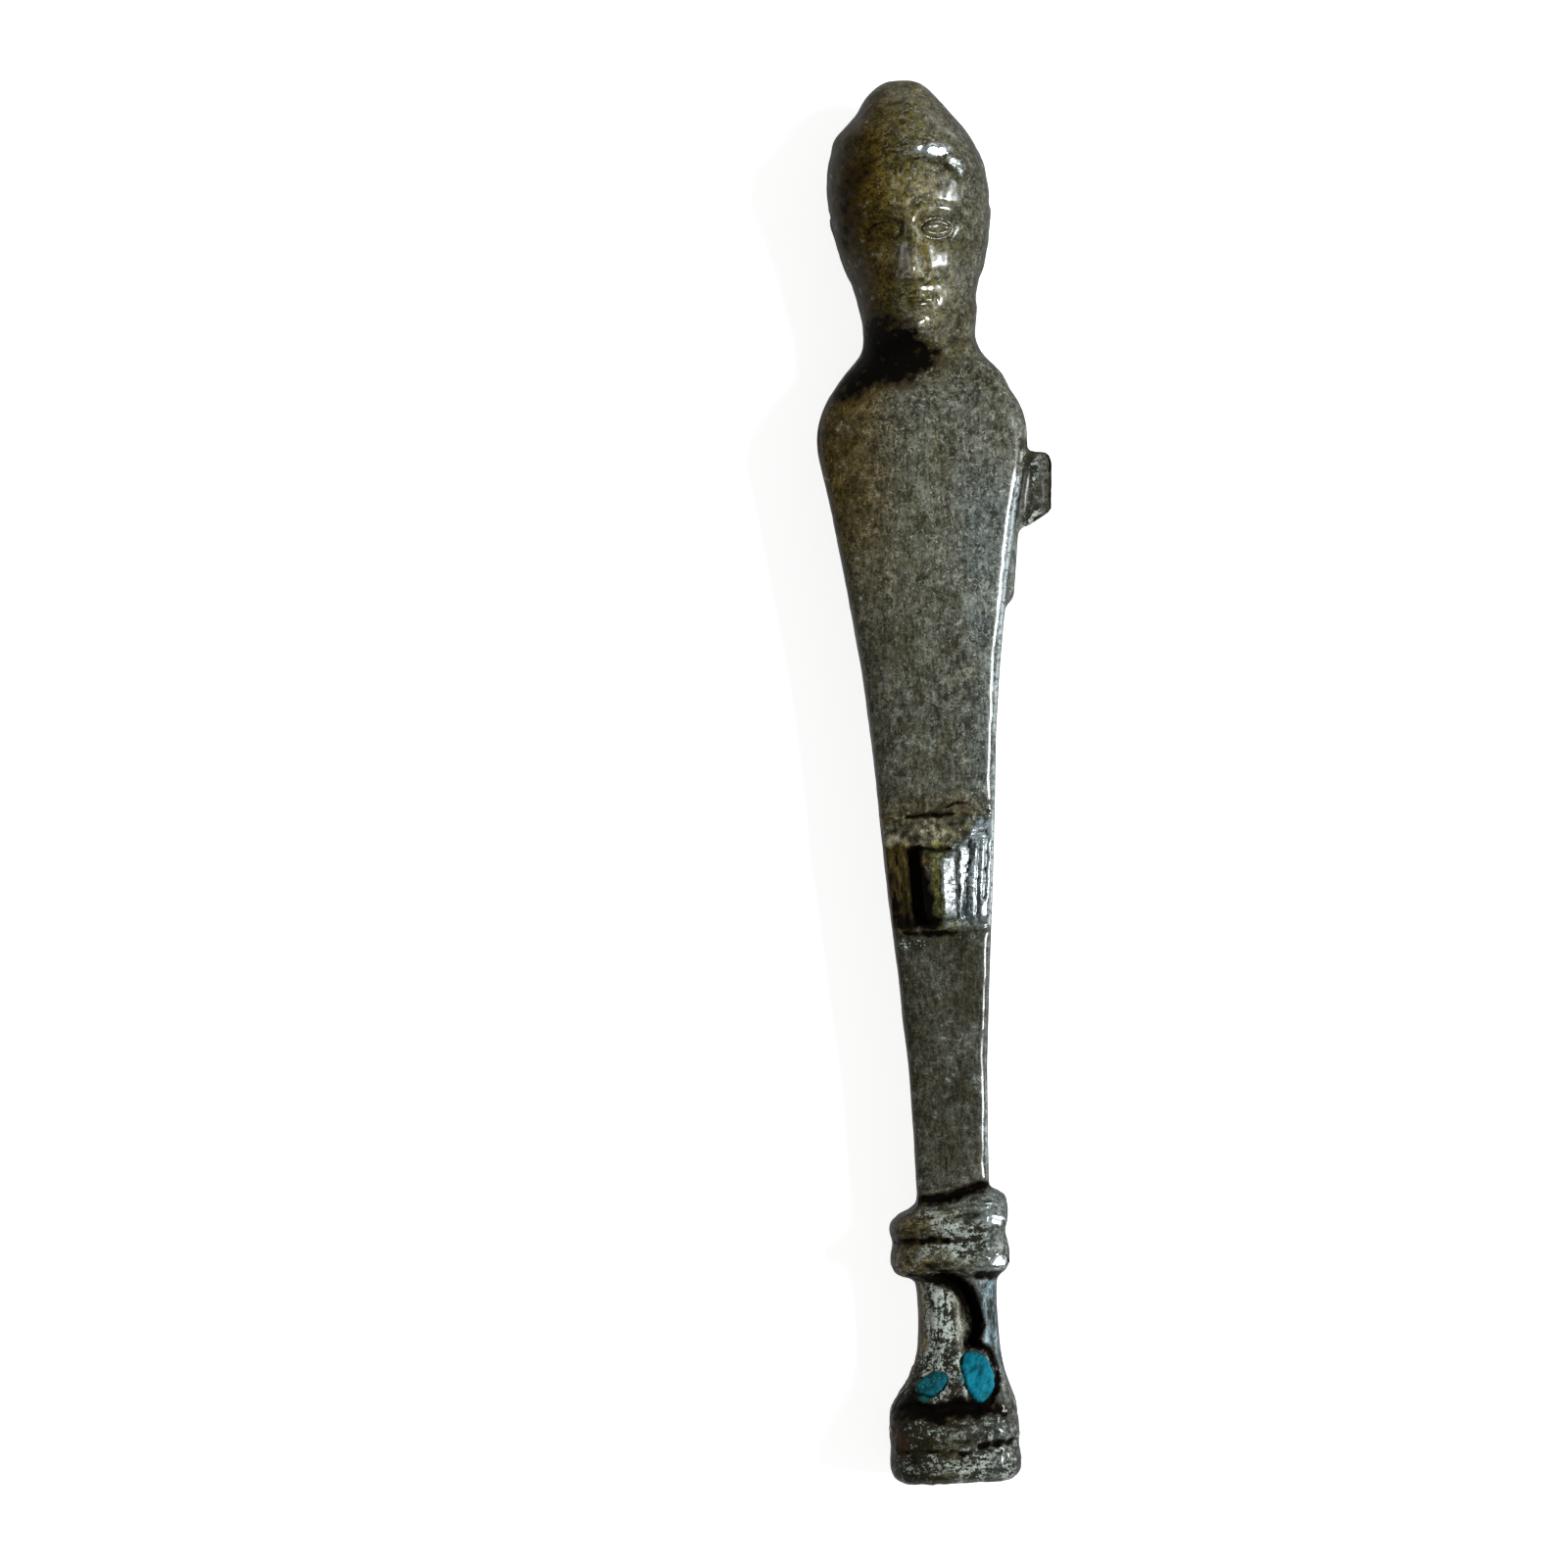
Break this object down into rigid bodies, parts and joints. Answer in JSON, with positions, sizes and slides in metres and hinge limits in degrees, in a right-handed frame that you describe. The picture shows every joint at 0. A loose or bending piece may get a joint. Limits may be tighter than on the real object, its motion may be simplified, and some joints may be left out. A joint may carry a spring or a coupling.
{
  "type": "bronze herm figure",
  "caption": "Small cast bronze herm: capped head and bust on a tapering square shaft, with a front panel, beaded collar, pedestal with blue inlay and base; lies on its back.",
  "frame": {"origin": "centre of the box round the figure, on the surface that it lies on", "axes": "+Y from the foot to the crown, +X to the viewer's right, +Z from the back to the front"},
  "size_m": [0.0135, 0.0804, 0.0092],
  "materials": {
    "bronze": "dark olive-brown patina, worn satin",
    "blue_enamel": "turquoise blue, worn semi-matt"
  },
  "bodies": {
    "root": {"herm_figure": "bronze", "blue_inlay_right": "blue_enamel", "blue_inlay_left": "blue_enamel"}
  },
  "joints": []
}
